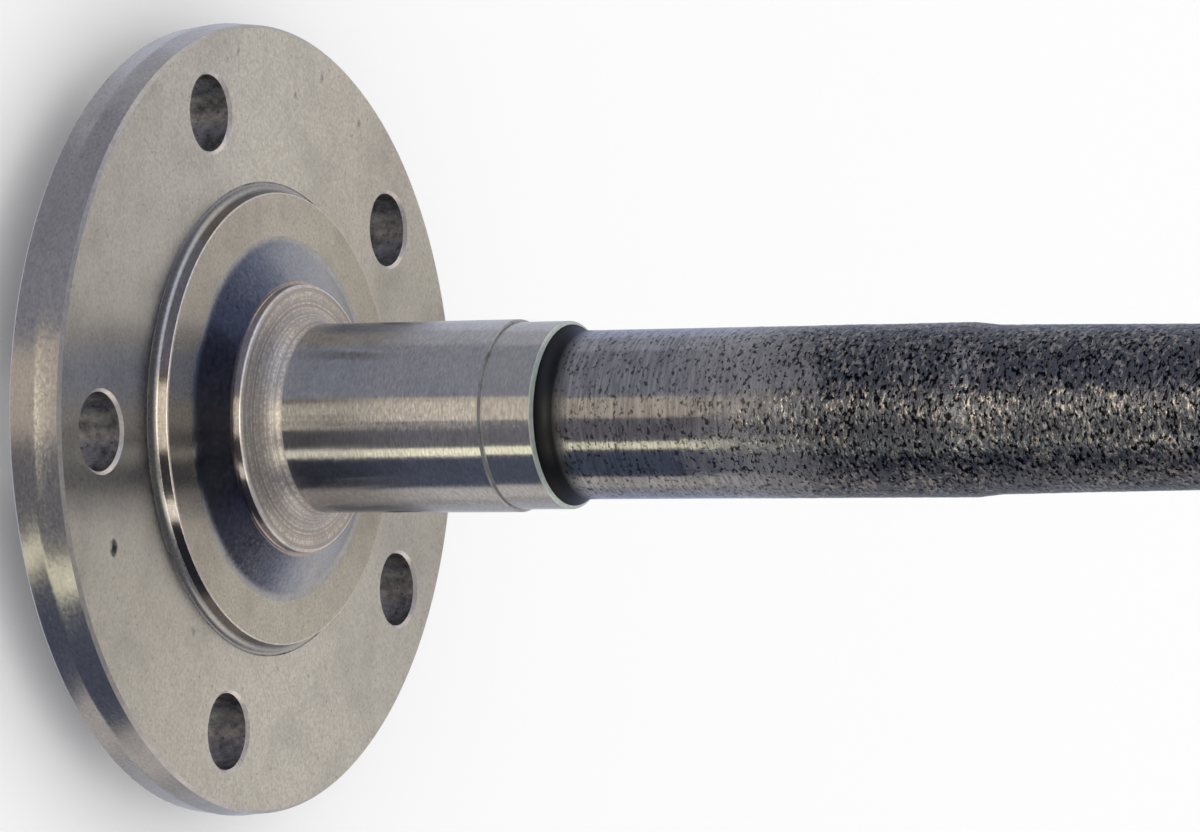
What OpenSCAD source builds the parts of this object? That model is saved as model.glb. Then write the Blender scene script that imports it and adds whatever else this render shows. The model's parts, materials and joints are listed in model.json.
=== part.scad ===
// Flanged drive axle shaft: one steel forging, turned, ground and splined.
// The axis is Z. The shaft stands on the end face of its wheel pilot, at Z = 0,
// with the flange just above and the splined inner end on top.

/* [Flange] */
// Width of the rim outside the stud holes
rim_w = 6.75; // [3:0.25:14]
// Thickness of the flange
flange_t = 10.8; // [8:0.2:16]
// Height of the ridge round the middle of the rim
rim_ridge = 0.5; // [0.1:0.1:1.5]
// Edge break on both sides of the rim
rim_chamfer = 0.6; // [0.2:0.1:2]

/* [Stud holes] */
// Number of wheel studs
stud_count = 5; // [3:1:8]
// Diameter of the circle through the stud holes
stud_circle_d = 120.65; // [110:0.05:124]
// Diameter of one stud hole
stud_hole_d = 14.3; // [9:0.1:16]
// Edge break at both mouths of a stud hole
stud_chamfer = 0.6; // [0.2:0.1:1.2]

/* [Wheel pilot] */
// Diameter of the pilot that centres the wheel
pilot_d = 70.6; // [58:0.1:84]
// Height of the pilot above the flange's outer face
pilot_h = 9.5; // [6:0.5:16]
// Lead-in chamfer on the pilot
pilot_chamfer = 1.6; // [0.5:0.1:3]
// Fillet where the pilot meets the flange
pilot_fillet = 0.8; // [0.3:0.1:2]
// Diameter of the dished recess in the pilot's end
recess_d = 50; // [30:1:54]
// Depth of the dished recess
recess_depth = 4; // [1:0.5:10]
// Fillet in the corner of the dished recess
recess_fillet = 3; // [0.5:0.5:5]

/* [Hub] */
// Diameter of the boss on the flange's inner face
boss_d = 85.2; // [76:0.2:92]
// Height of the boss
boss_h = 3.1; // [1:0.1:6]
// Fillet at the foot of the boss
boss_fillet = 2.8; // [0.5:0.1:4]
// Outer diameter of the cove turned into the boss
cove_d = 66.6; // [60:0.2:72]
// Radius of the cove
cove_r = 9.8; // [8:0.2:14]
// Rise of the cove above the boss
cove_rise = 3.3; // [1:0.1:5]
// Diameter of the collar inside the cove
collar_d = 50.4; // [44:0.2:52]
// Height of the collar above the end of the cove
collar_h = 2; // [1:0.1:5]
// Rounded edge of the collar
collar_round = 0.6; // [0.2:0.1:1]
// Fillet between the collar's face and the journal
neck_fillet = 4.2; // [1:0.1:4.5]

/* [Journal] */
// Diameter of the ground bearing journal
journal_d = 35.5; // [34:0.1:38]
// End of the journal, measured from the flange's inner face
journal_end = 53.4; // [40:0.2:70]
// Width of the grinding relief at the journal's end
relief_w = 0.5; // [0.3:0.1:2]
// Depth of the grinding relief below the turned band
relief_depth = 0.2; // [0.1:0.05:1]
// Diameter of the turned band next to the journal
band_d = 35; // [33:0.1:35.4]
// Length of the turned band
band_l = 9.5; // [4:0.5:20]
// Edge break at the band's end
band_chamfer = 0.4; // [0.1:0.1:0.8]

/* [Shaft] */
// Length over everything, from the pilot to the splined end
overall_l = 762; // [600:1:900]
// Diameter of the thick part of the forging
shaft_d = 30.9; // [29.5:0.1:31.8]
// Radius of the broad fillet that runs down from the band
step_fillet = 4; // [2:0.5:8]
// End of the thick part, measured from the flange's inner face
shaft_end = 143.5; // [100:0.5:200]
// Diameter of the bar between the forging and the spline
bar_d = 28.8; // [27:0.1:29.4]
// Length of the short taper that leaves the thick part
taper_l = 4.5; // [2:0.5:20]
// Length of the slow taper down to the bar
draw_l = 36; // [10:1:80]
// Share of the drop in diameter that the short taper takes
taper_share = 0.5; // [0.2:0.05:0.8]

/* [Spline] */
// Number of teeth
spline_teeth = 28; // [24:1:31]
// Teeth for each inch of pitch diameter
spline_pitch = 24; // [22:1:26]
// Slope of a tooth's flank
flank_angle = 30; // [25:1:40]
// Length of the teeth at full depth
spline_l = 50; // [30:1:80]
// Radius of the hob that cuts the teeth
hob_r = 32; // [20:1:50]
// Chamfer at the inner end of the teeth
spline_chamfer = 1.2; // [0.5:0.1:2]
// Length of the lead cone from the bar up to the teeth
lead_l = 5; // [1:0.5:15]

/* [Clip end] */
// Width of the retaining clip's groove
clip_w = 5.6; // [3:0.1:8]
// Diameter at the bottom of the clip's groove
clip_d = 20.6; // [16:0.1:23]
// Diameter of the button beyond the groove
button_d = 26.4; // [24:0.1:28]
// Length of the button
button_l = 7.5; // [4:0.5:12]
// Chamfer on the button's edges
button_chamfer = 0.8; // [0.2:0.1:1.5]

/* [Lathe centres] */
// Diameter of the centre's cone at its mouth
centre_d = 9; // [6:0.5:12]
// Diameter of the centre's drilled tip
centre_drill_d = 4; // [2:0.5:5]
// Depth of the drilled tip below the cone
centre_drill_l = 5; // [2:0.5:10]

/* [Hidden] */
$fn = 96;
inch = 25.4;
// How far a cutter runs past the surface that it cuts
overcut = 1;
// Angle between the sides of a lathe centre, and at the tip of a drill
centre_angle = 60;
drill_tip_angle = 118;

// Diameter at the flange's edges
flange_d = stud_circle_d + stud_hole_d + 2 * rim_w;

// Heights along the axis
face_z = pilot_h + flange_t;
boss_z = face_z + boss_h;
cove_z = boss_z + cove_rise;
collar_z = cove_z + collar_h;
journal_z = face_z + journal_end;
band_z = journal_z + band_l;
shaft_z = face_z + shaft_end;
button_z = overall_l - button_l;
clip_z = button_z - clip_w;
full_depth_z = clip_z - spline_l;

// Tooth form of a flat-root side-fit spline, with its height above and below the pitch line in modules
addendum = 0.5;
dedendum = 0.675;
spline_module = inch / spline_pitch;
pitch_r = spline_teeth * spline_module / 2;
tip_r = pitch_r + addendum * spline_module;
root_r = pitch_r - dedendum * spline_module;
gap_half_w = PI * spline_module / 4;
gap_half_angle = 90 / spline_teeth;
gap_slope = tan(flank_angle + gap_half_angle);
cut_depth = tip_r - root_r;
runout_l = sqrt(2 * hob_r * cut_depth - cut_depth * cut_depth);
spline_z = full_depth_z - runout_l;

// Fills the corner between a wall at radius r and a face at height z, turned to the side it is on
module corner_fillet(r, z, size, turn = 0)
    translate([r, z])
        rotate(turn)
            difference() {
                square(size);
                translate([size, size])
                    circle(size);
            }

// Solid stretch of shaft with a chamfer at each end
module turned_length(r, z0, z1, chamfer0 = 0, chamfer1 = 0)
    polygon([
        [0, z0],
        [r - chamfer0, z0],
        [r, z0 + chamfer0],
        [r, z1 - chamfer1],
        [r - chamfer1, z1],
        [0, z1]
    ]);

module pilot_section() {
    turned_length(pilot_d / 2, 0, face_z, chamfer0 = pilot_chamfer);
    corner_fillet(pilot_d / 2, pilot_h, pilot_fillet, turn = -90);
}

module flange_section()
    polygon([
        [0, pilot_h],
        [flange_d / 2 - rim_chamfer, pilot_h],
        [flange_d / 2, pilot_h + rim_chamfer],
        [flange_d / 2 + rim_ridge, pilot_h + flange_t / 2],
        [flange_d / 2, face_z - rim_chamfer],
        [flange_d / 2 - rim_chamfer, face_z],
        [0, face_z]
    ]);

// Boss with its foot fillet, the cove that climbs to the collar, and the collar
module hub_section() {
    turned_length(boss_d / 2, pilot_h, boss_z);
    corner_fillet(boss_d / 2, face_z, min(boss_fillet, boss_h));
    difference() {
        turned_length(cove_d / 2, pilot_h, cove_z);
        translate([cove_d / 2, boss_z + cove_r])
            circle(cove_r);
    }
    difference() {
        turned_length(collar_d / 2, pilot_h, collar_z);
        translate([collar_d / 2 - collar_round, collar_z - collar_round])
            difference() {
                square(collar_round + overcut);
                circle(collar_round);
            }
    }
}

// Ground journal, grinding relief and turned band, with the step down to the shaft
module journal_section() {
    turned_length(journal_d / 2, pilot_h, journal_z, chamfer1 = (journal_d - band_d) / 2);
    corner_fillet(journal_d / 2, collar_z, neck_fillet);
    turned_length(band_d / 2 - relief_depth, pilot_h, journal_z + relief_w);
    turned_length(band_d / 2, journal_z + relief_w, band_z, chamfer1 = band_chamfer);
    step_section();
}

// Fillet that starts at the band's edge and runs out along the shaft
module step_section() {
    step = (band_d - shaft_d) / 2 - band_chamfer;
    size = max(step_fillet, step);
    run = sqrt(2 * size * step - step * step);
    translate([shaft_d / 2, band_z])
        difference() {
            square([step, run]);
            translate([size, run])
                circle(size);
        }
}

// Thick forged part, the drawn-down tapers and the plain bar
module shaft_section() {
    drop = (shaft_d - bar_d) / 2;
    polygon([
        [0, pilot_h],
        [shaft_d / 2, pilot_h],
        [shaft_d / 2, shaft_z],
        [shaft_d / 2 - taper_share * drop, shaft_z + taper_l],
        [bar_d / 2, shaft_z + taper_l + draw_l],
        [bar_d / 2, spline_z],
        [0, spline_z]
    ]);
}

// Spline blank with its lead cone, the clip's groove and the button
module spline_section() {
    polygon([
        [0, spline_z - lead_l - overcut],
        [bar_d / 2, spline_z - lead_l - overcut],
        [bar_d / 2, spline_z - lead_l],
        [tip_r, spline_z],
        [tip_r, clip_z - spline_chamfer],
        [tip_r - spline_chamfer, clip_z],
        [0, clip_z]
    ]);
    turned_length(clip_d / 2, full_depth_z, overall_l - overcut);
    turned_length(button_d / 2, button_z, overall_l, button_chamfer, button_chamfer);
}

// Dished recess in the pilot's end
module recess_section()
    difference() {
        translate([0, -overcut])
            square([recess_d / 2, recess_depth + overcut]);
        corner_fillet(recess_d / 2, recess_depth, min(recess_fillet, recess_depth), turn = 180);
    }

// Lathe centre: a cone with a drilled tip, open at height 0 and going up
module centre_section() {
    cone_l = (centre_d - centre_drill_d) / 2 / tan(centre_angle / 2);
    tip_l = centre_drill_d / 2 / tan(drill_tip_angle / 2);
    polygon([
        [0, -overcut],
        [centre_d / 2, -overcut],
        [centre_d / 2, 0],
        [centre_drill_d / 2, cone_l],
        [centre_drill_d / 2, cone_l + centre_drill_l],
        [0, cone_l + centre_drill_l + tip_l]
    ]);
}

// Half section of the whole shaft, to the right of the axis
module axle_section()
    difference() {
        union() {
            pilot_section();
            flange_section();
            hub_section();
            journal_section();
            shaft_section();
            spline_section();
        }
        recess_section();
        translate([0, recess_depth])
            centre_section();
        translate([0, overall_l])
            mirror([0, 1])
                centre_section();
    }

// One stud hole along Z through the flange, with both mouths broken
module stud_hole() {
    mouth_r = stud_hole_d / 2 + stud_chamfer;
    translate([0, 0, pilot_h - overcut])
        cylinder(d = stud_hole_d, h = flange_t + 2 * overcut);
    translate([0, 0, pilot_h])
        cylinder(r1 = mouth_r, r2 = mouth_r - stud_chamfer, h = stud_chamfer);
    translate([0, 0, face_z - stud_chamfer])
        cylinder(r1 = mouth_r - stud_chamfer, r2 = mouth_r, h = stud_chamfer);
}

// Outline of one gap between two teeth, wider towards the outside
module gap_outline() {
    low = root_r - overcut;
    high = tip_r + overcut;
    low_w = gap_half_w + (low - pitch_r) * gap_slope;
    high_w = gap_half_w + (high - pitch_r) * gap_slope;
    polygon([[low, -low_w], [high, -high_w], [high, high_w], [low, low_w]]);
}

// Path of the hob in half section: full depth, then out along its own radius
module hob_section() {
    reach = cut_depth + overcut;
    translate([root_r, full_depth_z])
        square([reach, spline_l + overcut]);
    intersection() {
        translate([root_r + hob_r, full_depth_z])
            circle(hob_r);
        translate([root_r, spline_z - lead_l])
            square([reach, runout_l + lead_l]);
    }
}

// Gaps between the teeth, which fade out towards the bar
module spline_gaps()
    intersection() {
        rotate_extrude()
            hob_section();
        for (i = [0 : spline_teeth - 1])
            rotate(i * 360 / spline_teeth)
                translate([0, 0, spline_z - lead_l])
                    linear_extrude(clip_z - spline_z + lead_l + overcut)
                        gap_outline();
    }

module axle_shaft()
    color("#8d8b88")
        difference() {
            rotate_extrude()
                axle_section();
            for (i = [0 : stud_count - 1])
                rotate(i * 360 / stud_count - 90)
                    translate([stud_circle_d / 2, 0, 0])
                        stud_hole();
            spline_gaps();
        }

axle_shaft();
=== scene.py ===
import json
import math
import bpy
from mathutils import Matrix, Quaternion, Vector, noise
from mathutils.geometry import delaunay_2d_cdt


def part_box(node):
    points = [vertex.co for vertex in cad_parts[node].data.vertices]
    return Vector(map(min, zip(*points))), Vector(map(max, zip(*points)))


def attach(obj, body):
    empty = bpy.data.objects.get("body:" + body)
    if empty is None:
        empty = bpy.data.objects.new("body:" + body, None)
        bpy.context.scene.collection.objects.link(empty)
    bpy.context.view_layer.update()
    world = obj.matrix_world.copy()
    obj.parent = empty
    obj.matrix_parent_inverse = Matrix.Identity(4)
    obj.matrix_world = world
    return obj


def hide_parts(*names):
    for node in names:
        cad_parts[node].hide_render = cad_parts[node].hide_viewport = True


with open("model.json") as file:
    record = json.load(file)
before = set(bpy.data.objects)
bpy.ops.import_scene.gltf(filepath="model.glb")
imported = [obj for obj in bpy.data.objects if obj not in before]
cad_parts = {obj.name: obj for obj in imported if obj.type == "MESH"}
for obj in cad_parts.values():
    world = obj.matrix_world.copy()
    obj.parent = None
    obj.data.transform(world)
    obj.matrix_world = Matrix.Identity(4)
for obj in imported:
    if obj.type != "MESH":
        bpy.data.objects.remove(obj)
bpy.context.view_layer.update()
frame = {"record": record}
mounts = {mount["name"]: mount for mount in frame["record"]["mounts"]}
_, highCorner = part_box("axle_shaft")
mm = 0.001

# Sizes in millimetres. The main ones come from the frame, the rest follow the turned profile.
flange = {
    "outerZ": mounts["wheel_face"]["pos_m"][2] / mm, "thickness": 10.8, "chamfer": 0.6,
    "ridge": 0.5, "ridgeLand": 0.3, "ridgeRun": 0.25, "ridgeFall": 0.06, "rimRise": 0.03, "faceLead": 0.35,
    "studCount": mounts["stud_circle"]["dims"]["count"],
    "studCircle": mounts["stud_circle"]["dims"]["pcd_mm"] / 2,
    "studRadius": mounts["stud_circle"]["dims"]["hole_r_mm"],
    "studChamfer": 0.6, "studSides": 56, "studRings": 8, "firstStud": -90.0,
    "waveHeight": 0.035, "waveReach": 3, "waveRate": 0.6,
}
flange["radius"] = highCorner.x / mm - flange["ridge"]
flange["innerZ"] = flange["outerZ"] + flange["thickness"]
pilot = {
    "radius": mounts["wheel_pilot"]["dims"]["r_mm"], "chamfer": 1.6, "fillet": 0.8,
    "recessRadius": 25.0, "recessDepth": 4.0, "recessFillet": 3.0, "edge": 0.3, "lipLead": 0.7,
}
centre = {"radius": 4.5, "drill": 2.0, "length": 5.0, "halfPoint": 59, "lead": 0.4}
centre["cone"] = (centre["radius"] - centre["drill"]) * math.sqrt(3)
centre["tip"] = centre["drill"] / math.tan(math.radians(centre["halfPoint"]))
hub = {
    "bossRadius": 42.6, "bossHeight": 3.1, "bossFillet": 1.5, "bossEdge": 0.3, "wallLean": 77.0, "wallLead": 0.9,
    "footLine": 0.3, "footDepth": 0.1,
    "rampRadius": 33.3, "rampTop": 25.95, "rampRise": 3.3, "rampFoot": 5.0, "rampLead": 0.2,
    "collarRadius": 25.2, "collarHeight": 2.0, "collarRound": 0.6, "collarFoot": 0.2, "neckFillet": 4.2,
}
journal = {
    "radius": mounts["bearing_journal"]["dims"]["r_mm"], "end": 73.7, "chamfer": 0.25, "ringStep": 4.0,
    "reliefRadius": 17.1, "reliefEnd": 74.2, "reliefSlope": 0.08,
    "bandRadius": 17.25, "bandEnd": 84.3, "bandLead": 0.65, "bandStep": 3.0,
    "edgeFall": 0.65, "edgeRun": 0.5, "stepFillet": 4.0,
}
bar = {
    "shaftRadius": 15.45, "shaftEnd": 163.8, "taperRadius": 14.925, "taperEnd": 168.3, "radius": 14.4,
    "start": 204.3, "fineStart": 103.0, "fineEnd": 210.0, "end": 685.07, "fineStep": 0.8, "coarseStep": 6.0,
}
spline = {
    "teeth": 28, "tip": 15.346, "root": 14.102, "start": 690.07, "full": 698.9, "end": 748.9,
    "hob": 32.0, "chamfer": 1.2, "rootAngle": 1.475, "tipAngle": 4.395,
    "lead": 5.0, "leadRings": 3, "runOutRings": 10, "fullRings": 4, "ringStep": 12.0,
}
clip = {
    "radius": 10.3, "end": 754.5, "button": 13.2, "chamfer": 0.8, "endZ": highCorner.z / mm,
    "corner": 0.4, "edge": 0.25, "seam": 0.01,
}
# Scale on the bar: coarse swells and two sizes of flake, which grow away from the turned end
forged = {
    "start": 106, "run": 26, "least": 0.06,
    "waves": [
        {"around": 0.11, "along": 0.09, "shiftX": 0, "shiftZ": 0, "height": 0.055},
        {"around": 0.75, "along": 1.15, "shiftX": 0, "shiftZ": 31, "height": 0.06},
        {"around": 1.6, "along": 2.1, "shiftX": 7, "shiftZ": 0, "height": 0.035},
    ],
}
# Dents in the flange: rings of points by share of the dent's radius and of its depth. The ring at a dent's
# edge is turned by half a step.
dentRings = ((2.4, 0), (1.7, 0), (1.25, 0), (1.0, 0.15), (0.62, 0.75), (0, 1))
dentSides = 14
topDents = [
    {"x": -65.0, "y": 22.9, "radius": 1.2, "depth": 0.16, "stretch": 1.0},
    {"x": -61.4, "y": 12.6, "radius": 0.9, "depth": 0.12, "stretch": 1.0},
    {"x": -56.4, "y": 37.2, "radius": 1.0, "depth": 0.14, "stretch": 1.0},
    {"x": -69.3, "y": -8.4, "radius": 0.8, "depth": 0.1, "stretch": 1.0},
    {"x": 20.8, "y": -57.5, "radius": 1.0, "depth": 0.45, "stretch": 1.5},
    {"x": 38.0, "y": -30.9, "radius": 0.9, "depth": 0.12, "stretch": 1.0},
]
# A ring this far from an edge keeps the shading of the face beside it flat
edgeLead = 0.3
samePoint = 1e-4
sharpAngle = 32
# Leeway for leaving out the triangles that lie inside a face's holes
holeSlack = {"stud": 0.05, "inner": 0.9998, "merge": 1e-7}

# Lengthwise lines of the mesh: eight to a tooth, gathered on its flanks
pitch = 360 / spline["teeth"]
flankMiddle = (spline["rootAngle"] + spline["tipAngle"]) / 2
offsets = [0, spline["rootAngle"], flankMiddle, spline["tipAngle"], pitch / 2]
offsets += [pitch - offset for offset in (spline["tipAngle"], flankMiddle, spline["rootAngle"])]
columns = [
    (tooth * pitch + offset, min(offset, pitch - offset))
    for tooth in range(spline["teeth"]) for offset in offsets
]
points, faces, finishes = [], [], []


def toothRadius(offset, z):
    share = (offset - spline["rootAngle"]) / (spline["tipAngle"] - spline["rootAngle"])
    radius = spline["root"] + (spline["tip"] - spline["root"]) * min(max(share, 0), 1)
    if z < spline["full"]:
        lift = spline["hob"] - math.sqrt(spline["hob"] ** 2 - (spline["full"] - z) ** 2)
        radius = max(radius, spline["root"] + lift)
    return min(radius, spline["tip"], spline["tip"] - (z - spline["end"] + spline["chamfer"]))


def forgedRelief(x, y, z):
    relief = 0
    for wave in forged["waves"]:
        place = (x * wave["around"] + wave["shiftX"], y * wave["around"], z * wave["along"] + wave["shiftZ"])
        relief += wave["height"] * noise.noise(Vector(place))
    return relief * min(max((z - forged["start"]) / forged["run"], forged["least"]), 1)


def addRing(radius, z, finish):
    # A ring without a radius follows the spline's teeth
    first = len(points)
    for angle, offset in columns:
        turn = math.radians(angle)
        r = toothRadius(offset, z) if radius is None else radius
        x, y = r * math.cos(turn), r * math.sin(turn)
        if finish == "forgedScale":
            factor = 1 + forgedRelief(x, y, z) / r
            x, y = x * factor, y * factor
        points.append((x, y, z))
    return list(range(first, len(points)))


def bridge(lower, upper, finish):
    count = len(lower)
    for i in range(count):
        j = (i + 1) % count
        faces.append((lower[i], lower[j], upper[j], upper[i]))
        finishes.append(finish)


def closeAtAxis(ring, z, finish, upwards):
    points.append((0, 0, z))
    tip = len(points) - 1
    for i in range(len(ring)):
        j = (i + 1) % len(ring)
        faces.append((ring[i], ring[j], tip) if upwards else (ring[j], ring[i], tip))
        finishes.append(finish)


def arc(centreR, centreZ, radius, start, end, steps):
    turns = [math.radians(start + (end - start) * i / steps) for i in range(steps + 1)]
    return [(centreR + radius * math.cos(t), centreZ + radius * math.sin(t)) for t in turns]


def spaced(start, end, step):
    count = max(1, round((end - start) / step))
    return [start + (end - start) * i / count for i in range(count + 1)]


def straight(radius, start, end, step):
    return [(radius, z) for z in spaced(start, end, step)]


def turned(stretches):
    # Rings along a turned profile; a point shared by two stretches makes one ring
    rings, last, previous = [], None, None
    for finish, profile in stretches:
        for radius, z in profile:
            if last is not None and radius is not None and math.dist(last, (radius, z)) < samePoint:
                continue
            ring = addRing(radius, z, finish)
            if previous:
                bridge(previous, ring, finish)
            rings.append(ring)
            previous, last = ring, (radius, z) if radius is not None else None
    return rings


# Pilot end, from the lathe centre out to the flange's outer face
outerZ, innerZ = flange["outerZ"], flange["innerZ"]
depth, lipR, pilotR = pilot["recessDepth"], pilot["recessRadius"], pilot["radius"]
recessFillet, pilotCut, pilotFillet = pilot["recessFillet"], pilot["chamfer"], pilot["fillet"]
drillEnd = depth + centre["cone"] + centre["length"]
lower = turned([
    ("drilledHole", [
        (centre["drill"], drillEnd), (centre["drill"], depth + centre["cone"]), (centre["radius"], depth),
    ]),
    ("pilotTurned", [(centre["radius"] + centre["lead"], depth)]
     + arc(lipR - recessFillet, depth - recessFillet, recessFillet, 90, 0, 6)
     + [(lipR, pilot["edge"]), (lipR + pilot["edge"], 0), (lipR + pilot["lipLead"], 0),
        (pilotR - pilotCut - edgeLead, 0), (pilotR - pilotCut, 0), (pilotR, pilotCut),
        (pilotR, pilotCut + edgeLead), (pilotR, outerZ - pilotFillet - edgeLead)]
     + arc(pilotR + pilotFillet, outerZ - pilotFillet, pilotFillet, 180, 90, 4)),
])
closeAtAxis(lower[0], drillEnd + centre["tip"], "drilledHole", False)

# Rim, with the slight ridge that the forging dies leave at mid thickness
rimR, rimCut, ridgeR = flange["radius"], flange["chamfer"], flange["radius"] + flange["ridge"]
riseR, slopeR = rimR + flange["rimRise"], ridgeR - flange["ridgeFall"]
middleZ = (outerZ + innerZ) / 2
landLow, landHigh = middleZ - flange["ridgeLand"], middleZ + flange["ridgeLand"]
rim = turned([
    ("rimBand", [
        (rimR - rimCut, outerZ), (rimR, outerZ + rimCut), (riseR, outerZ + rimCut + edgeLead),
        (slopeR, landLow - flange["ridgeRun"]), (ridgeR, landLow),
        (ridgeR, landHigh), (slopeR, landHigh + flange["ridgeRun"]),
        (riseR, innerZ - rimCut - edgeLead), (rimR, innerZ - rimCut),
    ]),
    ("rimEdge", [(rimR - rimCut, innerZ)]),
])

# Hub: a boss with a leaning wall, a ramp with a rounded foot, and a collar that runs into the neck. Painted
# highlights lie on the boss and collar edges, and painted shade in the groove at the boss's foot.
bossTop = innerZ + hub["bossHeight"]
bossR, bossEdge, bossFillet = hub["bossRadius"], hub["bossEdge"], hub["bossFillet"]
wallTop, lean = bossTop - bossEdge, math.radians(hub["wallLean"])
wallRun = (hub["bossHeight"] - bossEdge - bossFillet * (1 - math.cos(lean))) / math.tan(lean)
footR = bossR + wallRun + bossFillet * math.sin(lean)
wallLead = wallRun * hub["wallLead"]
rampRun, rampShares = hub["rampRadius"] - hub["rampTop"], (0.25, 0.5, 0.75, 0.98, 1)
rampLean = math.atan2(hub["rampRise"], rampRun)
rampStart = hub["rampRadius"] + hub["rampFoot"] * math.tan(rampLean / 2)
rampEnd = bossTop + hub["rampRise"]
collarZ, collarR, collarRound = rampEnd + hub["collarHeight"], hub["collarRadius"], hub["collarRound"]
journalR, journalStart = journal["radius"], collarZ + hub["neckFillet"]
hubStretches = [
    ("reliefCut", [
        (footR + hub["footLine"], innerZ), (footR + hub["footLine"] / 2, innerZ - hub["footDepth"]), (footR, innerZ),
    ]),
    ("bossTurned", arc(footR, innerZ + bossFillet, bossFillet, 270, 270 - hub["wallLean"], 12)),
    ("bossWall", [(bossR + wallLead, wallTop - wallLead * math.tan(lean)), (bossR, wallTop)]),
    ("cutEdge", arc(bossR - bossEdge, wallTop, bossEdge, 0, 90, 4)),
    ("annulusTurned", [
        (bossR - bossEdge - edgeLead, bossTop), (rampStart + hub["rampLead"], bossTop), (rampStart, bossTop),
    ]),
    ("rampTurned", arc(rampStart, bossTop + hub["rampFoot"], hub["rampFoot"], 270, 270 - math.degrees(rampLean), 6)
     + [(hub["rampRadius"] - rampRun * k, bossTop + hub["rampRise"] * k) for k in rampShares]),
    ("collarTurned", [
        (collarR + hub["collarFoot"], rampEnd), (collarR, rampEnd + hub["collarFoot"]),
        (collarR, collarZ - collarRound),
    ]),
    ("collarEdge", arc(collarR - collarRound, collarZ - collarRound, collarRound, 0, 90, 4)),
    ("neckFace", [(collarR - collarRound - edgeLead, collarZ)]
     + arc(journalR + hub["neckFillet"], journalStart, hub["neckFillet"], 270, 180, 10)),
]

# Journal, the relief cut behind it with painted shade in its groove, and the turned band with a painted highlight on
# the edge of its shoulder
reliefR, bandR, bandEnd = journal["reliefRadius"], journal["bandRadius"], journal["bandEnd"]
reliefStart, reliefEnd = journal["end"] + journal["reliefSlope"], journal["reliefEnd"] - journal["reliefSlope"]
journalStretches = [
    ("groundJournal", straight(journalR, journalStart, journal["end"] - journal["chamfer"], journal["ringStep"])),
    ("reliefCut", [
        (journalR - journal["chamfer"], journal["end"]), (reliefR, reliefStart), (reliefR, reliefEnd),
        (bandR, journal["reliefEnd"]),
    ]),
    ("turnedBand", straight(bandR, journal["reliefEnd"], bandEnd - journal["bandLead"], journal["bandStep"])),
    ("brightEdge", [
        (bandR, bandEnd - journal["edgeRun"]), (bandR - journal["edgeFall"] / 3, bandEnd - journal["edgeRun"] / 2),
        (bandR - journal["edgeFall"], bandEnd),
    ]),
]

# Forged bar, from the fillet at the shoulder to the spline
step = journal["stepFillet"]
stepFall = bandR - journal["edgeFall"] - bar["shaftRadius"]
stepTurn = math.degrees(math.acos((step - stepFall) / step))
scaleStart = bandEnd + step * math.sin(math.radians(stepTurn))
taper = [(bar["shaftRadius"], bar["shaftEnd"]), (bar["taperRadius"], bar["taperEnd"]), (bar["radius"], bar["start"])]


def barRadius(z):
    for (r0, z0), (r1, z1) in zip(taper, taper[1:]):
        if z0 <= z <= z1:
            share = (z - z0) / (z1 - z0)
            return r0 + (r1 - r0) * share
    return bar["shaftRadius"] if z < bar["shaftEnd"] else bar["radius"]


barZ = spaced(scaleStart, bar["fineStart"], bar["fineStep"])[:-1]
barZ += spaced(bar["fineStart"], bar["fineEnd"], bar["fineStep"])[:-1]
barZ += spaced(bar["fineEnd"], bar["end"], bar["coarseStep"])
shoulderFillet = arc(bar["shaftRadius"] + step, scaleStart, step, 180 + stepTurn, 180, 8)

# Splined end: the lead to the teeth, the hob's run-out, the full teeth, the clip groove and the end button
tipR, splineEnd, splineCut = spline["tip"], spline["end"], spline["chamfer"]
leadRise, leadRings = tipR - bar["radius"], spline["leadRings"]
lead = [
    (bar["radius"] + leadRise * k / leadRings, bar["end"] + spline["lead"] * k / leadRings)
    for k in range(leadRings)
]
runOut = spline["full"] - spline["start"]
splineZ = [spline["start"] + runOut * k / spline["runOutRings"] for k in range(spline["runOutRings"] + 1)]
splineZ += [spline["full"] + spline["ringStep"] * k for k in range(1, spline["fullRings"] + 1)]
splineZ += [splineEnd - splineCut, splineEnd]
grooveR, grooveEnd, buttonR, endZ = clip["radius"], clip["end"], clip["button"], clip["endZ"]
corner, grooveStart = clip["corner"], splineEnd + clip["seam"]
upper = turned(hubStretches + journalStretches + [
    ("forgedScale", shoulderFillet + [(barRadius(z), z) for z in barZ]),
    ("cutSpline", lead + [(None, z) for z in splineZ]),
    ("clipTurned", [
        (tipR - splineCut - edgeLead, grooveStart), (grooveR + corner, grooveStart), (grooveR, splineEnd + corner),
        (grooveR, grooveEnd - corner), (grooveR + corner, grooveEnd), (buttonR - clip["edge"], grooveEnd),
        (buttonR, grooveEnd + clip["edge"]), (buttonR, endZ - clip["chamfer"]), (buttonR - clip["chamfer"], endZ),
        (centre["radius"] + centre["lead"], endZ), (centre["radius"], endZ),
    ]),
    ("drilledHole", [
        (centre["drill"], endZ - centre["cone"]), (centre["drill"], endZ - centre["cone"] - centre["length"]),
    ]),
])
closeAtAxis(upper[-1], endZ - centre["cone"] - centre["length"] - centre["tip"], "drilledHole", True)
print("turned profile:", len(points), "points")
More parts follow.
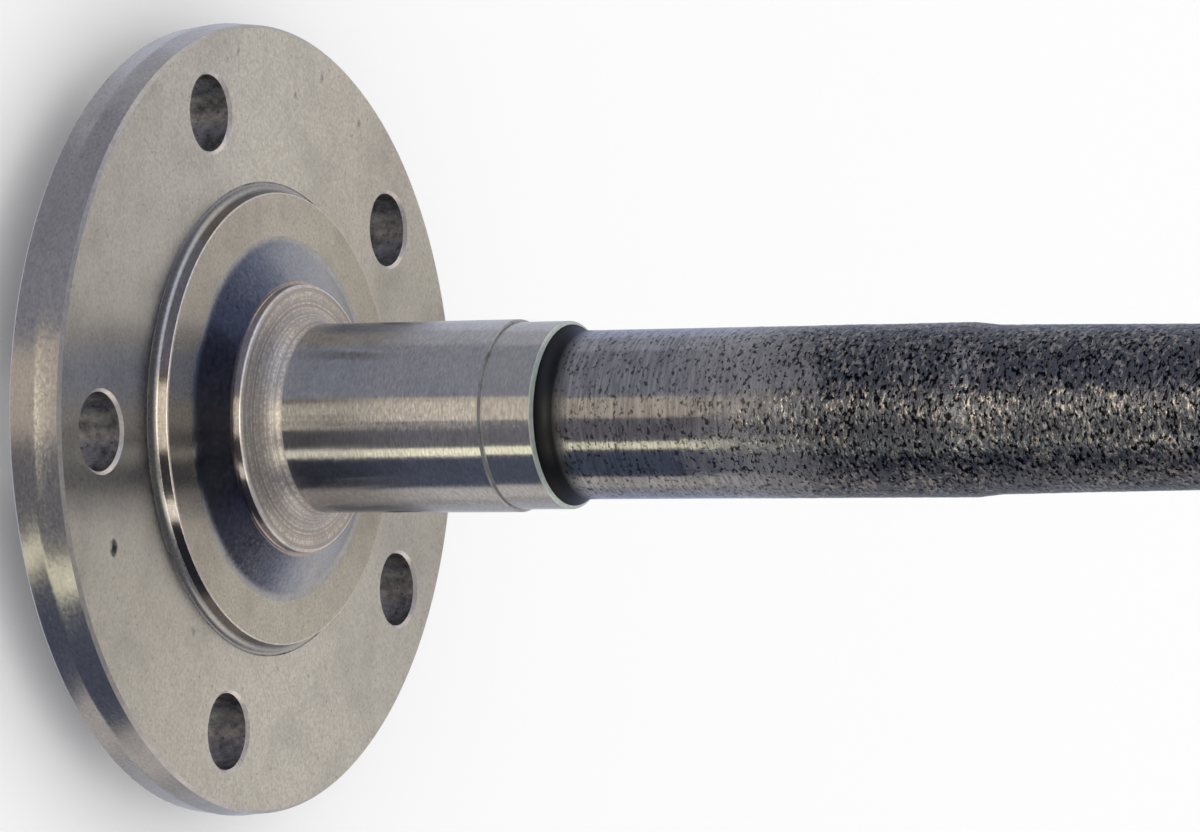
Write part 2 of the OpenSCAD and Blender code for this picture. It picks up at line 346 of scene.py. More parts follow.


# Stud holes through the flange, with painted highlights on their chamfers, and the two faces round them
def mouth(stud, z, radius):
    first = len(points)
    turn = math.radians(flange["firstStud"] + stud * 360 / flange["studCount"])
    cx, cy = flange["studCircle"] * math.cos(turn), flange["studCircle"] * math.sin(turn)
    reach = flange["waveReach"]
    for i in range(flange["studSides"]):
        t = 2 * math.pi * i / flange["studSides"]
        place = Vector((cx + reach * math.cos(t), cy + reach * math.sin(t), z * flange["waveRate"]))
        r = radius + flange["waveHeight"] * noise.noise(place)
        points.append((cx + r * math.cos(t), cy + r * math.sin(t), z))
    return list(range(first, len(points)))


def plate(outer, inner, mouths, z, finish, upwards, dents):
    # Flat ring with holes between two rings of the profile, with dents pressed into it
    loops = [outer, inner] + mouths
    indices = [i for loop in loops for i in loop]
    place = {index: k for k, index in enumerate(indices)}
    edges = [(place[loop[k]], place[loop[(k + 1) % len(loop)]]) for loop in loops for k in range(len(loop))]
    rInner = math.hypot(*points[inner[0]][:2])
    rOuter = math.hypot(*points[outer[0]][:2])

    def addPoint(x, y, pointZ):
        points.append((x, y, pointZ))
        indices.append(len(points) - 1)

    for dent in dents:
        for share, fall in dentRings:
            steps = dentSides if share else 1
            for k in range(steps):
                t = 2 * math.pi * (k + 0.5 * (share == 1.0)) / steps
                x = dent["x"] + share * dent["radius"] * dent["stretch"] * math.cos(t)
                y = dent["y"] + share * dent["radius"] * math.sin(t)
                addPoint(x, y, z - fall * dent["depth"])
    for radius in (rInner + flange["faceLead"], rOuter - flange["faceLead"]):
        for angle, _ in columns:
            t = math.radians(angle)
            addPoint(radius * math.cos(t), radius * math.sin(t), z)
    flat = [Vector(points[i][:2]) for i in indices]
    verts, _, triangles, sources, _, _ = delaunay_2d_cdt(flat, edges, [], 0, holeSlack["merge"])
    centres = [sum((Vector(points[i][:2]) for i in loop), Vector((0, 0))) / len(loop) for loop in mouths]
    holeRadius = flange["studRadius"] + flange["studChamfer"] - holeSlack["stud"]
    innerLimit = rInner * holeSlack["inner"]
    for triangle in triangles:
        middle = sum((verts[k] for k in triangle), Vector((0, 0))) / 3
        if middle.length < innerLimit or any((middle - c).length < holeRadius for c in centres):
            continue
        corners = [indices[sources[k][0]] for k in triangle]
        faces.append(tuple(corners if upwards else corners[::-1]))
        finishes.append(finish)


cut = flange["studChamfer"]
plainDepth = flange["thickness"] - 2 * cut
levels = [(outerZ, cut), (outerZ + cut, 0)]
levels += [(outerZ + cut + plainDepth * k / flange["studRings"], 0) for k in range(1, flange["studRings"] + 1)]
levels.append((innerZ, cut))
topMouths, bottomMouths = [], []
for stud in range(flange["studCount"]):
    rings = [mouth(stud, z, flange["studRadius"] + extra) for z, extra in levels]
    bottomMouths.append(rings[0])
    topMouths.append(rings[-1])
    for k in range(len(rings) - 1):
        bridge(rings[k + 1], rings[k], "studEdge" if k in (0, len(rings) - 2) else "drilledHole")
plate(rim[-1], upper[0], topMouths, innerZ, "turnedFace", True, topDents)
plate(rim[0], lower[-1], bottomMouths, outerZ, "turnedFace", False, [])
print("flange: faces", len(faces))


# Shared shader effects. Each puts out one mask from 0 to 1, laid out in metres on the part itself.
effectLook = {
    "grain": {"rough": 0.6},
    "drift": {"rate": 120.0, "detail": 1.0, "rough": 0.5},
    "marks": {"detail": 2.0, "rough": 0.7},
    "clouds": {"detail": 5.0, "rough": 0.62},
}


def newNode(tree, kind, **settings):
    made = tree.nodes.new(kind)
    for key, value in settings.items():
        setattr(made, key, value)
    return made


def connect(tree, target, value):
    if isinstance(value, bpy.types.NodeSocket):
        tree.links.new(value, target)
    else:
        target.default_value = value


def calculate(tree, operation, first, second):
    made = newNode(tree, "ShaderNodeMath", operation=operation)
    connect(tree, made.inputs[0], first)
    connect(tree, made.inputs[1], second)
    return made.outputs[0]


def newGroup(name, inputs, output):
    group = bpy.data.node_groups.new(name, "ShaderNodeTree")
    for socket, value in inputs.items():
        made = group.interface.new_socket(socket, in_out="INPUT", socket_type="NodeSocketFloat")
        made.default_value = value
    group.interface.new_socket(output, in_out="OUTPUT", socket_type="NodeSocketFloat")
    start, end = newNode(group, "NodeGroupInput"), newNode(group, "NodeGroupOutput")
    place = newNode(group, "ShaderNodeTexCoord").outputs["Object"]
    return group, start.outputs, end.inputs[0], place


def noiseMask(tree, vector, detail, rough, dimensions="3D"):
    made = newNode(tree, "ShaderNodeTexNoise", noise_dimensions=dimensions)
    connect(tree, made.inputs["W" if dimensions == "1D" else "Vector"], vector)
    connect(tree, made.inputs["Scale"], 1.0)
    connect(tree, made.inputs["Detail"], detail)
    connect(tree, made.inputs["Roughness"], rough)
    return made.outputs["Fac"]


def scaleVector(tree, vector, rate):
    made = newNode(tree, "ShaderNodeVectorMath", operation="SCALE")
    connect(tree, made.inputs[0], vector)
    connect(tree, made.inputs["Scale"], rate)
    return made.outputs[0]


def makeGrain():
    # Speckle with one spacing round the axis and another along it
    inputs = {"Around": 2000.0, "Along": 2000.0, "Detail": 3.0}
    group, given, out, place = newGroup("surfaceGrain", inputs, "Grain")
    parts = newNode(group, "ShaderNodeSeparateXYZ")
    connect(group, parts.inputs[0], place)
    joined = newNode(group, "ShaderNodeCombineXYZ")
    for axis, rate in (("X", "Around"), ("Y", "Around"), ("Z", "Along")):
        connect(group, joined.inputs[axis], calculate(group, "MULTIPLY", parts.outputs[axis], given[rate]))
    connect(group, out, noiseMask(group, joined.outputs[0], given["Detail"], effectLook["grain"]["rough"]))
    return group


def makeMarks():
    # Tool lines round the axis, a little uneven, by distance along the turned profile
    group, given, out, place = newGroup("turningMarks", {"Pitch": 4000.0, "Wander": 0.4}, "Marks")
    parts = newNode(group, "ShaderNodeSeparateXYZ")
    connect(group, parts.inputs[0], place)
    flat = newNode(group, "ShaderNodeCombineXYZ")
    for axis in ("X", "Y"):
        connect(group, flat.inputs[axis], parts.outputs[axis])
    reach = newNode(group, "ShaderNodeVectorMath", operation="LENGTH")
    connect(group, reach.inputs[0], flat.outputs[0])
    along = calculate(group, "SUBTRACT", parts.outputs["Z"], reach.outputs["Value"])
    look = effectLook["drift"]
    unevenness = noiseMask(group, scaleVector(group, place, look["rate"]), look["detail"], look["rough"])
    drift = calculate(group, "MULTIPLY", unevenness, given["Wander"])
    line = calculate(group, "ADD", calculate(group, "MULTIPLY", along, given["Pitch"]), drift)
    look = effectLook["marks"]
    connect(group, out, noiseMask(group, line, look["detail"], look["rough"], "1D"))
    return group


def makeClouds():
    # Broad cloudy patches: stains and handling marks, and the patches of painted shade in the relief groove
    group, given, out, place = newGroup("patchClouds", {"Scale": 90.0, "Shift": 0.0}, "Clouds")
    moved = newNode(group, "ShaderNodeVectorMath", operation="ADD")
    connect(group, moved.inputs[0], scaleVector(group, place, given["Scale"]))
    connect(group, moved.inputs[1], given["Shift"])
    look = effectLook["clouds"]
    connect(group, out, noiseMask(group, moved.outputs[0], look["detail"], look["rough"]))
    return group


groups = {"surfaceGrain": makeGrain(), "turningMarks": makeMarks(), "patchClouds": makeClouds()}


def use(tree, name, **values):
    made = newNode(tree, "ShaderNodeGroup", node_tree=groups[name])
    for socket, value in values.items():
        made.inputs[socket].default_value = value
    return made.outputs[0]


def level(tree, value, low, high, start=0.0, end=1.0):
    made = newNode(tree, "ShaderNodeMapRange")
    connect(tree, made.inputs["Value"], value)
    for socket, amount in (("From Min", low), ("From Max", high), ("To Min", start), ("To Max", end)):
        connect(tree, made.inputs[socket], amount)
    return made.outputs[0]


def mixColour(tree, factor, first, second):
    # A mix node's colours are its inputs 6 and 7 and its output 2
    made = newNode(tree, "ShaderNodeMix", data_type="RGBA")
    connect(tree, made.inputs[0], factor)
    for socket, value in ((6, first), (7, second)):
        connect(tree, made.inputs[socket], value if isinstance(value, bpy.types.NodeSocket) else (*value, 1.0))
    return made.outputs[2]


def bump(tree, height, distance, strength, normal=None):
    made = newNode(tree, "ShaderNodeBump")
    connect(tree, made.inputs["Height"], height)
    made.inputs["Distance"].default_value = distance
    made.inputs["Strength"].default_value = strength
    if normal:
        connect(tree, made.inputs["Normal"], normal)
    return made.outputs[0]


def newMaterial(name):
    material = bpy.data.materials.new(name)
    material.use_nodes = True
    return material, material.node_tree


# Bare steel. Ranges say which part of a mask counts; grain is given round and along the axis, and marks
# as their pitch, tint and bump. A finish lists what differs from these.
plainSteel = {
    "metal": 1.0, "brushed": 0.0, "brushTurn": 0.25, "stainAndShadeShare": 0.3, "specked": 0.0, "pitted": 0.05,
    "grain": (1500, 1500), "grainRange": (0.32, 0.68), "grainHeight": 0.00004,
    "marks": (3000, 0.1, 0.05), "markRange": (0.3, 0.7), "markHeight": 0.00002, "wander": 0.5,
    "clouds": 120.0, "cloudRange": (0.5, 0.72), "cloudShare": 0.8,
    "speckRate": 1050.0, "speckDetail": 2.0, "speckRange": (0.36, 0.28), "roughRange": (0.6, 1.2),
}
finishLooks = {
    "turnedFace": {
        "bright": (0.635, 0.63, 0.615), "dull": (0.42, 0.42, 0.42), "stainAndShade": (0.23, 0.225, 0.23), "stainAndShadeShare": 0.25,
        "marks": (2500, 0.12, 0.10), "wander": 0.6, "clouds": 70.0, "shift": 3.0,
        "rough": (0.28, 0.37), "brushed": 0.8, "pitted": 0.2, "specked": 0.6,
    },
    "rimBand": {
        "bright": (0.58, 0.56, 0.54), "dull": (0.42, 0.41, 0.41), "stainAndShade": (0.26, 0.25, 0.25),
        "grain": (1200, 1800), "marks": (900, 0.2, 0.1), "wander": 0.6, "clouds": 110.0, "shift": 8.0,
        "rough": (0.16, 0.24), "pitted": 0.15, "specked": 0.5,
    },
    "rimEdge": {
        "bright": (0.56, 0.53, 0.52), "dull": (0.42, 0.40, 0.39), "stainAndShade": (0.30, 0.28, 0.28), "stainAndShadeShare": 0.4,
        "grain": (1200, 1200), "wander": 0.6, "clouds": 170.0, "shift": 6.0,
        "rough": (0.3, 0.4), "metal": 0.7,
    },
    "bossTurned": {
        "bright": (0.45, 0.435, 0.42), "dull": (0.33, 0.32, 0.315), "stainAndShade": (0.24, 0.23, 0.225),
        "marks": (4000, 0.15, 0.1), "shift": 5.0,
        "rough": (0.25, 0.33), "metal": 0.85, "pitted": 0.08, "specked": 0.2,
    },
    "bossWall": {
        "bright": (0.26, 0.24, 0.235), "dull": (0.17, 0.154, 0.154), "stainAndShade": (0.10, 0.086, 0.088), "stainAndShadeShare": 0.4,
        "grain": (1500, 1800), "marks": (4000, 0.15, 0.1), "clouds": 140.0, "shift": 15.0,
        "rough": (0.16, 0.24), "brushed": 0.9, "pitted": 0.08,
    },
    # Boss edge: base colour far lighter than the boss beside it, a painted highlight line
    "cutEdge": {
        "bright": (0.82, 0.75, 0.70), "dull": (0.60, 0.54, 0.50), "stainAndShade": (0.44, 0.39, 0.36), "stainAndShadeShare": 0.4,
        "grain": (1200, 1200), "wander": 0.6, "clouds": 170.0, "shift": 6.0,
        "rough": (0.3, 0.4), "metal": 0.6,
    },
    "annulusTurned": {
        "bright": (0.54, 0.52, 0.49), "dull": (0.34, 0.33, 0.315), "stainAndShade": (0.24, 0.23, 0.22),
        "marks": (3500, 0.2, 0.12), "clouds": 110.0, "shift": 6.0,
        "rough": (0.24, 0.34), "brushed": 0.9, "pitted": 0.15, "specked": 0.5,
    },
    "rampTurned": {
        "bright": (0.39, 0.405, 0.46), "dull": (0.27, 0.28, 0.32), "stainAndShade": (0.14, 0.145, 0.165),
        "grain": (1300, 1300), "marks": (2500, 0.2, 0.1), "shift": 12.0,
        "rough": (0.18, 0.27), "brushed": 0.9, "pitted": 0.15, "specked": 0.6,
    },
    "collarTurned": {
        "bright": (0.46, 0.42, 0.42), "dull": (0.31, 0.28, 0.28), "stainAndShade": (0.20, 0.175, 0.175), "stainAndShadeShare": 0.35,
        "grain": (1500, 1800), "marks": (2000, 0.35, 0.16), "shift": 2.0,
        "rough": (0.19, 0.27), "brushed": 0.9, "pitted": 0.1,
    },
    # Collar edge: base colour far lighter than the collar, a painted highlight line
    "collarEdge": {
        "bright": (0.76, 0.71, 0.685), "dull": (0.56, 0.52, 0.50), "stainAndShade": (0.36, 0.32, 0.31), "stainAndShadeShare": 0.5,
        "grain": (1200, 1200), "wander": 0.6, "clouds": 170.0, "shift": 10.0,
        "rough": (0.28, 0.38), "metal": 0.6, "pitted": 0.08,
    },
    "neckFace": {
        "bright": (0.80, 0.75, 0.71), "dull": (0.39, 0.355, 0.34), "stainAndShade": (0.30, 0.28, 0.265),
        "grain": (1500, 1800), "marks": (1000, 0.85, 0.8), "markRange": (0.42, 0.58), "wander": 0.35, "shift": 9.0,
        "rough": (0.42, 0.54), "metal": 0.75, "brushed": 0.7, "pitted": 0.08, "specked": 0.3,
    },
    "groundJournal": {
        "bright": (0.70, 0.69, 0.67), "dull": (0.46, 0.45, 0.46), "stainAndShade": (0.30, 0.30, 0.31),
        "grain": (900, 2600), "marks": (5200, 0.25, 0.10), "wander": 0.8, "clouds": 140.0, "shift": 4.0,
        "rough": (0.125, 0.185), "brushed": 1.0, "pitted": 0.1, "specked": 0.35,
    },
    "turnedBand": {
        "bright": (0.66, 0.65, 0.63), "dull": (0.48, 0.47, 0.47), "stainAndShade": (0.34, 0.33, 0.33), "stainAndShadeShare": 0.25,
        "grain": (900, 2600), "marks": (4200, 0.2, 0.08), "wander": 0.6, "clouds": 140.0, "shift": 7.0,
        "rough": (0.12, 0.19), "brushed": 0.9, "pitted": 0.08, "specked": 0.25,
    },
    # Relief groove and boss foot line: large patches go near black, painted shade in the grooves
    "reliefCut": {
        "bright": (0.46, 0.45, 0.45), "dull": (0.34, 0.34, 0.34), "stainAndShade": (0.05, 0.05, 0.05), "stainAndShadeShare": 1.0,
        "grain": (900, 2600), "marks": (4200, 0.2, 0.1), "wander": 0.6, "clouds": 190.0, "shift": 3.0,
        "rough": (0.30, 0.42), "metal": 0.7, "pitted": 0.1,
    },
    # Shoulder edge: base colour lightened and tinted green, a painted highlight line along the edge
    "brightEdge": {
        "bright": (0.60, 0.67, 0.61), "dull": (0.45, 0.50, 0.46), "stainAndShade": (0.40, 0.40, 0.39),
        "grain": (900, 3000), "wander": 0.6, "clouds": 160.0, "shift": 4.0,
        "rough": (0.3, 0.4), "metal": 0.6,
    },
    "pilotTurned": {
        "bright": (0.62, 0.60, 0.58), "dull": (0.45, 0.44, 0.43), "stainAndShade": (0.30, 0.28, 0.27), "stainAndShadeShare": 0.35,
        "grain": (1500, 1600), "marks": (3000, 0.25, 0.14), "clouds": 90.0, "shift": 14.0,
        "rough": (0.26, 0.38), "brushed": 0.9, "pitted": 0.15, "specked": 0.4,
    },
    "drilledHole": {
        "bright": (0.49, 0.475, 0.48), "dull": (0.21, 0.205, 0.215), "stainAndShade": (0.03, 0.03, 0.034), "stainAndShadeShare": 0.9,
        "grain": (1100, 800), "marks": (1500, 0.3, 0.25), "wander": 1.0, "clouds": 260.0, "shift": 1.0,
        "rough": (0.34, 0.52), "pitted": 0.6, "specked": 0.7,
    },
    # Stud hole chamfers: base colour far lighter than the holes, a painted highlight round each mouth
    "studEdge": {
        "bright": (0.84, 0.78, 0.76), "dull": (0.64, 0.58, 0.565), "stainAndShade": (0.32, 0.28, 0.28), "stainAndShadeShare": 0.4,
        "marks": (3000, 0.2, 0.1), "wander": 0.6, "clouds": 190.0, "shift": 2.0,
        "rough": (0.3, 0.42), "metal": 0.6, "pitted": 0.2,
    },
    "cutSpline": {
        "bright": (0.55, 0.54, 0.53), "dull": (0.38, 0.37, 0.37), "stainAndShade": (0.26, 0.25, 0.24), "stainAndShadeShare": 0.35,
        "grain": (1800, 900), "marks": (1500, 0.15, 0.1), "wander": 0.6, "shift": 11.0,
        "rough": (0.26, 0.36), "pitted": 0.04, "specked": 0.3,
    },
    "clipTurned": {
        "bright": (0.58, 0.57, 0.55), "dull": (0.42, 0.41, 0.40), "stainAndShade": (0.30, 0.29, 0.28), "stainAndShadeShare": 0.35,
        "grain": (1600, 2000), "marks": (3200, 0.3, 0.15), "shift": 13.0,
        "rough": (0.24, 0.36), "brushed": 0.9, "pitted": 0.12, "specked": 0.3,
    },
}


def steelFinish(name, look):
    material, tree = newMaterial(name)
    shader = tree.nodes["Principled BSDF"]
    shader.inputs["Metallic"].default_value = look["metal"]
    shader.inputs["Anisotropic"].default_value = look["brushed"]
    shader.inputs["Anisotropic Rotation"].default_value = look["brushTurn"]
    tangent = newNode(tree, "ShaderNodeTangent", direction_type="RADIAL", axis="Z")
    connect(tree, shader.inputs["Tangent"], tangent.outputs[0])
    markPitch, markTint, markBump = look["marks"]
    grain = use(tree, "surfaceGrain", Around=look["grain"][0], Along=look["grain"][1])
    marks = use(tree, "turningMarks", Pitch=markPitch, Wander=look["wander"])
    clouds = use(tree, "patchClouds", Scale=look["clouds"], Shift=look["shift"])
    speckRate, speckDetail = look["speckRate"], look["speckDetail"]
    specks = use(tree, "surfaceGrain", Around=speckRate, Along=speckRate, Detail=speckDetail)
    colour = mixColour(tree, level(tree, grain, *look["grainRange"]), look["dull"], look["bright"])
    stainAndShadeShare = level(tree, clouds, *look["cloudRange"], 0.0, look["stainAndShadeShare"])
    colour = mixColour(tree, stainAndShadeShare, colour, look["stainAndShade"])
    marked = level(tree, marks, *look["markRange"], 0.0, markTint)
    colour = mixColour(tree, marked, colour, look["dull"])
    specked = level(tree, specks, *look["speckRange"], 0.0, look["specked"])
    connect(tree, shader.inputs["Base Color"], mixColour(tree, specked, colour, look["stainAndShade"]))
    worn = calculate(tree, "ADD", grain, calculate(tree, "MULTIPLY", clouds, look["cloudShare"]))
    connect(tree, shader.inputs["Roughness"], level(tree, worn, *look["roughRange"], *look["rough"]))
    normal = bump(tree, marks, look["markHeight"], markBump)
    connect(tree, shader.inputs["Normal"], bump(tree, grain, look["grainHeight"], look["pitted"], normal))
    return material


materials = {name: steelFinish(name, {**plainSteel, **look}) for name, look in finishLooks.items()}

# Forged scale: turned and streaked at first, then near-black skin with bare flakes and pits, and painted shade in
# the shoulder's fillet corner. Places are in metres.
scaleLook = {
    "smooth": (0.51, 0.50, 0.50), "smoothDull": (0.30, 0.295, 0.31), "flake": (0.375, 0.338, 0.307),
    "skin": (0.010, 0.010, 0.016), "pit": (0.006, 0.006, 0.009), "paintedShoulderShade": (0.024, 0.025, 0.027),
    "from": 0.113, "to": 0.140, "drift": 0.009, "shoulderShadeFrom": 0.0905, "shoulderShadeTo": 0.0873, "shoulderShadeDulled": 0.35,
    "index": 2.0, "sheen": (0.84, 0.88, 1.0), "rough": (0.12, 0.30), "roughRange": (0.2, 1.3),
    "patches": {"Scale": 95.0, "Shift": 5.0}, "patchRange": (0.3, 0.7), "patchShare": 0.4,
    "flakes": {"Around": 680.0, "Along": 1200.0, "Detail": 3.0}, "flakeRange": (0.74, 0.83),
    "specks": {"Around": 950.0, "Along": 1500.0, "Detail": 2.0}, "speckShare": 0.5,
    "speckRange": (0.45, 0.34), "specked": 0.75, "pitRange": (0.49, 0.40),
    "streaks": {"Around": 160.0, "Along": 1900.0, "Detail": 2.0}, "streakRange": (0.35, 0.65),
    "smoothBump": 0.05, "bumpHeight": 0.0003, "bumpStrength": 0.7,
}


def scaleFinish(name, look):
    material, tree = newMaterial(name)
    shader = tree.nodes["Principled BSDF"]
    shader.inputs["IOR"].default_value = look["index"]
    shader.inputs["Specular Tint"].default_value = (*look["sheen"], 1.0)
    parts = newNode(tree, "ShaderNodeSeparateXYZ")
    connect(tree, parts.inputs[0], newNode(tree, "ShaderNodeTexCoord").outputs["Object"])
    patches = use(tree, "patchClouds", **look["patches"])
    flakes = use(tree, "surfaceGrain", **look["flakes"])
    specks = use(tree, "surfaceGrain", **look["specks"])
    streaks = use(tree, "surfaceGrain", **look["streaks"])
    drift = level(tree, patches, *look["patchRange"], -look["drift"], look["drift"])
    scaly = level(tree, calculate(tree, "ADD", parts.outputs["Z"], drift), look["from"], look["to"])
    smooth = mixColour(tree, level(tree, streaks, *look["streakRange"]), look["smoothDull"], look["smooth"])
    specked = level(tree, specks, *look["speckRange"], 0.0, look["specked"])
    smooth = mixColour(tree, specked, smooth, look["pit"])
    gathered = calculate(tree, "ADD", flakes, calculate(tree, "MULTIPLY", patches, look["patchShare"]))
    raised = level(tree, gathered, *look["flakeRange"])
    pits = level(tree, specks, *look["pitRange"])
    rough = mixColour(tree, raised, look["skin"], look["flake"])
    rough = mixColour(tree, pits, rough, look["pit"])
    colour = mixColour(tree, scaly, smooth, rough)
    # Painted shade: near black and rougher in the fillet corner at the shoulder, fading out along the bar
    paintedShoulderShade = level(tree, parts.outputs["Z"], look["shoulderShadeFrom"], look["shoulderShadeTo"])
    connect(tree, shader.inputs["Base Color"], mixColour(tree, paintedShoulderShade, colour, look["paintedShoulderShade"]))
    bare = calculate(tree, "MAXIMUM", calculate(tree, "SUBTRACT", 1.0, scaly), raised)
    connect(tree, shader.inputs["Metallic"], calculate(tree, "MAXIMUM", bare, pits))
    speckHeight = calculate(tree, "MULTIPLY", specks, look["speckShare"])
    worn = level(tree, calculate(tree, "ADD", scaly, speckHeight), *look["roughRange"], *look["rough"])
    dulled = calculate(tree, "MULTIPLY", paintedShoulderShade, look["shoulderShadeDulled"])
    connect(tree, shader.inputs["Roughness"], calculate(tree, "ADD", worn, dulled))
    height = calculate(tree, "ADD", flakes, speckHeight)
    height = calculate(tree, "MULTIPLY", height, level(tree, scaly, 0.0, 1.0, look["smoothBump"], 1.0))
    connect(tree, shader.inputs["Normal"], bump(tree, height, look["bumpHeight"], look["bumpStrength"]))
    return material


materials["forgedScale"] = scaleFinish("forgedScale", scaleLook)
order = sorted(materials)
print("materials:", len(order))

mesh = bpy.data.meshes.new("axleShaft")
mesh.from_pydata([[v * mm for v in point] for point in points], [], faces)
for name in order:
    mesh.materials.append(materials[name])
mesh.polygons.foreach_set("material_index", [order.index(finish) for finish in finishes])
mesh.update()
mesh.shade_smooth()
mesh.set_sharp_from_angle(angle=math.radians(sharpAngle))
shaft = bpy.data.objects.new("axleShaft", mesh)
bpy.context.scene.collection.objects.link(shaft)
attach(shaft, "root")
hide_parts("axle_shaft")
print("axle shaft:", len(mesh.vertices), "points,", sum(len(p.vertices) - 2 for p in mesh.polygons), "triangles")

# Stage: pale floor and sky, and a far ring of plain panels that only the reflections see
stageLook = {
    "floor": (0.99, 0.99, 0.99), "floorReach": 30, "floorRough": 0.9,
    "sky": (1.0, 1.0, 1.0), "skyStrength": 1.0, "reach": 4.0, "step": 4.0,
}
navy = (0.10, 0.115, 0.165)
crown = (0.012, 0.013, 0.026)
grey = (0.33, 0.335, 0.385)
mist = (0.47, 0.48, 0.53)
pearl = (0.59, 0.61, 0.70)
warm = (0.94, 0.87, 0.765)
haze = (0.66, 0.655, 0.68)
beige = (0.70, 0.62, 0.53)
sand = (0.58, 0.55, 0.51)
dusk = (0.21, 0.205, 0.23)
ash = (0.64, 0.61, 0.585)
dove = (0.45, 0.44, 0.45)
rose = (1.15, 1.06, 0.98)
blue = (0.075, 0.095, 0.17)
night = (0.035, 0.042, 0.075)
sky = (1.08, 1.15, 1.36)
lamp = (10.5, 10.1, 8.7)
spot = (2.4, 2.3, 1.9)
cream = (1.35, 1.3, 0.97)
patch = (3.0, 2.8, 2.25)
shine = (7.6, 7.0, 5.6)


def fade(low, high, steps, first, last):
    # Rows that pass evenly from one colour to another
    rows = []
    for k in range(steps):
        share = k / (steps - 1)
        colour = tuple(a * (b / a) ** share for a, b in zip(first, last))
        rows.append((low + (high - low) * k / steps, low + (high - low) * (k + 1) / steps, colour))
    return rows


# Each panel covers azimuths (0 faces the camera, positive towards +X) and, in rows, heights above the horizon
lampRows = [(-8, -5, patch), (-5, 6, shine), (6, 17, patch), (17, 50, sand), (50, 60, crown)]
panels = [
    {"from": -128, "to": -98, "rows": [(-90, 0, mist), (0, 38, warm), (38, 60, blue)]},
    {"from": -98, "to": -25, "rows": [(-90, 4, grey), (4, 35, sky), (35, 60, blue)]},
    {"from": -25, "to": -19, "rows": [(-90, 50, beige), (50, 60, crown)]},
    {"from": -19, "to": 3, "rows": [(-90, -8, beige)] + lampRows},
    {"from": 3, "to": 12, "rows": [(-90, -8, dusk)] + lampRows},
    {"from": 12, "to": 36, "rows": [(-90, 50, dusk), (50, 60, crown)]},
    {"from": 36, "to": 46, "rows": [(-90, -5, cream), (-5, 7, lamp), (7, 44, spot), (44, 60, dusk)]},
    {"from": 46, "to": 92, "rows": [(-90, 36, navy), (36, 60, crown)]},
    {"from": 92, "to": 116, "rows": [(-90, 0, ash), (0, 38, rose), (38, 60, night)]},
    {"from": 116, "to": 130, "rows": [(-90, 0, dove), (0, 33, rose), (33, 60, night)]},
    {"from": 130, "to": 158, "rows": [(-90, -4, mist), (-4, 18, haze)]
     + fade(18, 46, 7, haze, night) + [(46, 60, night)]},
    {"from": 158, "to": 193, "rows": [(-90, -4, pearl), (-4, 8, haze), (8, 48, warm), (48, 60, night)]},
    {"from": 193, "to": 232, "rows": [(-90, -4, pearl), (-4, 19, haze)]
     + fade(19, 52, 9, haze, blue) + [(52, 60, blue)]},
]


def glow(name, colour):
    material, tree = newMaterial(name)
    tree.nodes.remove(tree.nodes["Principled BSDF"])
    light = newNode(tree, "ShaderNodeEmission")
    light.inputs["Color"].default_value = (*colour, 1.0)
    connect(tree, tree.nodes["Material Output"].inputs["Surface"], light.outputs[0])
    return material


def addPanel(name, start, end, low, high, colour):
    # A sheet of the far sphere between two azimuths and two heights
    across = max(1, round((end - start) / stageLook["step"]))
    up = max(1, round((high - low) / stageLook["step"]))
    verts, quads = [], []
    for k in range(across + 1):
        turn = math.radians(start + (end - start) * k / across)
        for i in range(up + 1):
            rise = math.radians(low + (high - low) * i / up)
            flat = stageLook["reach"] * math.cos(rise)
            verts.append((flat * math.sin(turn), -flat * math.cos(turn), stageLook["reach"] * math.sin(rise)))
    for k in range(across):
        for i in range(up):
            corner = k * (up + 1) + i
            quads.append((corner, corner + 1, corner + up + 2, corner + up + 1))
    sheet = bpy.data.meshes.new(name)
    sheet.from_pydata(verts, [], quads)
    sheet.materials.append(glow(name, colour))
    made = bpy.data.objects.new(name, sheet)
    bpy.context.scene.collection.objects.link(made)
    made.visible_camera = made.visible_diffuse = made.visible_shadow = made.visible_transmission = False


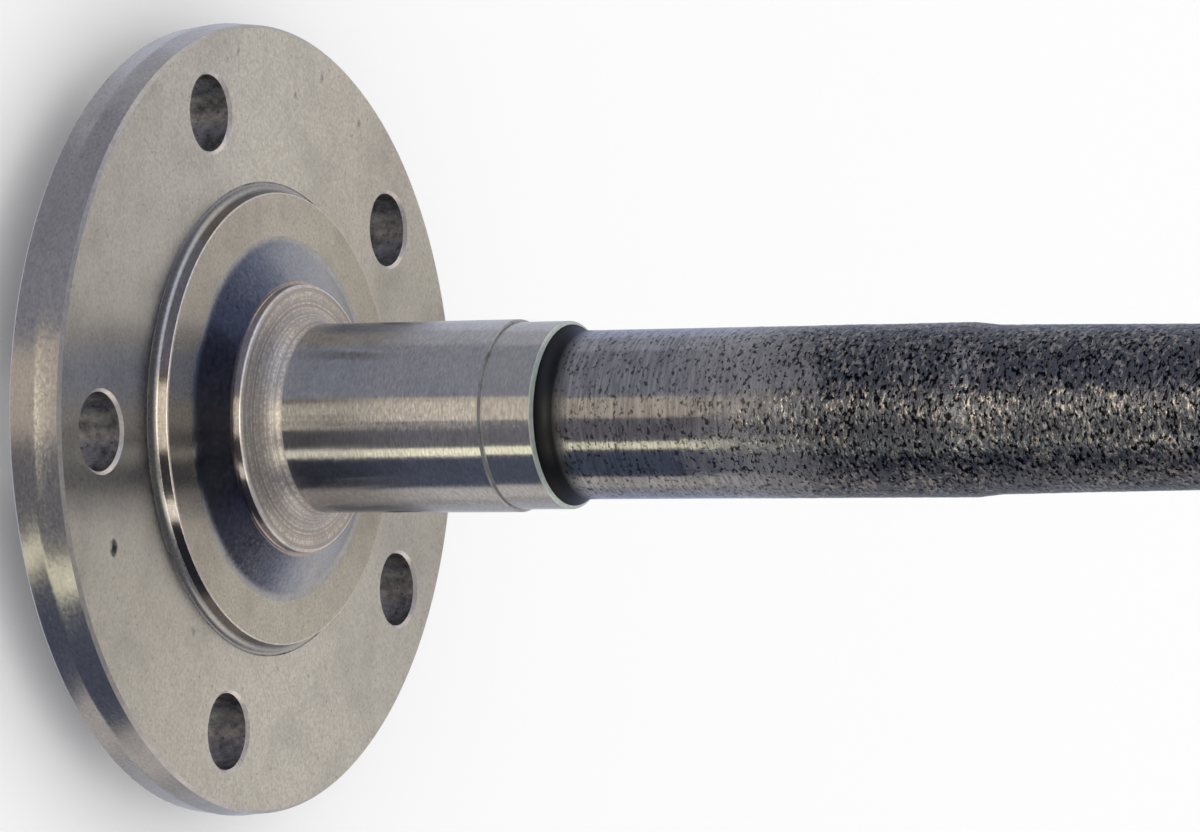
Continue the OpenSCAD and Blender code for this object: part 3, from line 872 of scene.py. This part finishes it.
for panel in panels:
    for row, (low, high, colour) in enumerate(panel["rows"]):
        addPanel(f"panel{panel['from']}row{row}", panel["from"], panel["to"], low, high, colour)
addPanel("panelCrown", 0, 360, 60, 90, crown)

floorReach = stageLook["floorReach"]
floorCorners = [(x * floorReach, y * floorReach, 0) for x, y in ((-1, -1), (1, -1), (1, 1), (-1, 1))]
floorMesh = bpy.data.meshes.new("floor")
floorMesh.from_pydata(floorCorners, [], [(0, 1, 2, 3)])
floorMaterial, floorTree = newMaterial("floorPaper")
floorShader = floorTree.nodes["Principled BSDF"]
floorShader.inputs["Base Color"].default_value = (*stageLook["floor"], 1.0)
floorShader.inputs["Roughness"].default_value = stageLook["floorRough"]
floorShader.inputs["Specular IOR Level"].default_value = 0.0
floorMesh.materials.append(floorMaterial)
floor = bpy.data.objects.new("floor", floorMesh)
bpy.context.scene.collection.objects.link(floor)
floor.visible_glossy = False

world = bpy.data.worlds.new("studio")
bpy.context.scene.world = world
world.use_nodes = True
background = world.node_tree.nodes["Background"]
background.inputs["Color"].default_value = (*stageLook["sky"], 1.0)
background.inputs["Strength"].default_value = stageLook["skyStrength"]

# Camera, rolled so that the axle lies across the picture as in the photograph
cameraLook = {
    "place": Vector((-0.0259, -0.8417, 0.5038)), "aim": Vector((0.0011, 0.0274, 0.0761)),
    "roll": 89.26, "lens": 154.17, "sensor": 36.0, "near": 0.01, "far": 100.0,
}
cameraData = bpy.data.cameras.new("camera")
cameraData.lens = cameraLook["lens"]
cameraData.sensor_width = cameraLook["sensor"]
cameraData.clip_start, cameraData.clip_end = cameraLook["near"], cameraLook["far"]
camera = bpy.data.objects.new("camera", cameraData)
camera.location = cameraLook["place"]
facing = (cameraLook["aim"] - cameraLook["place"]).to_track_quat("-Z", "Y")
camera.rotation_mode = "QUATERNION"
camera.rotation_quaternion = facing @ Quaternion((0, 0, 1), math.radians(cameraLook["roll"]))
bpy.context.scene.collection.objects.link(camera)
bpy.context.scene.camera = camera
bpy.context.scene.view_settings.view_transform = "Standard"
print("stage and camera: ready")
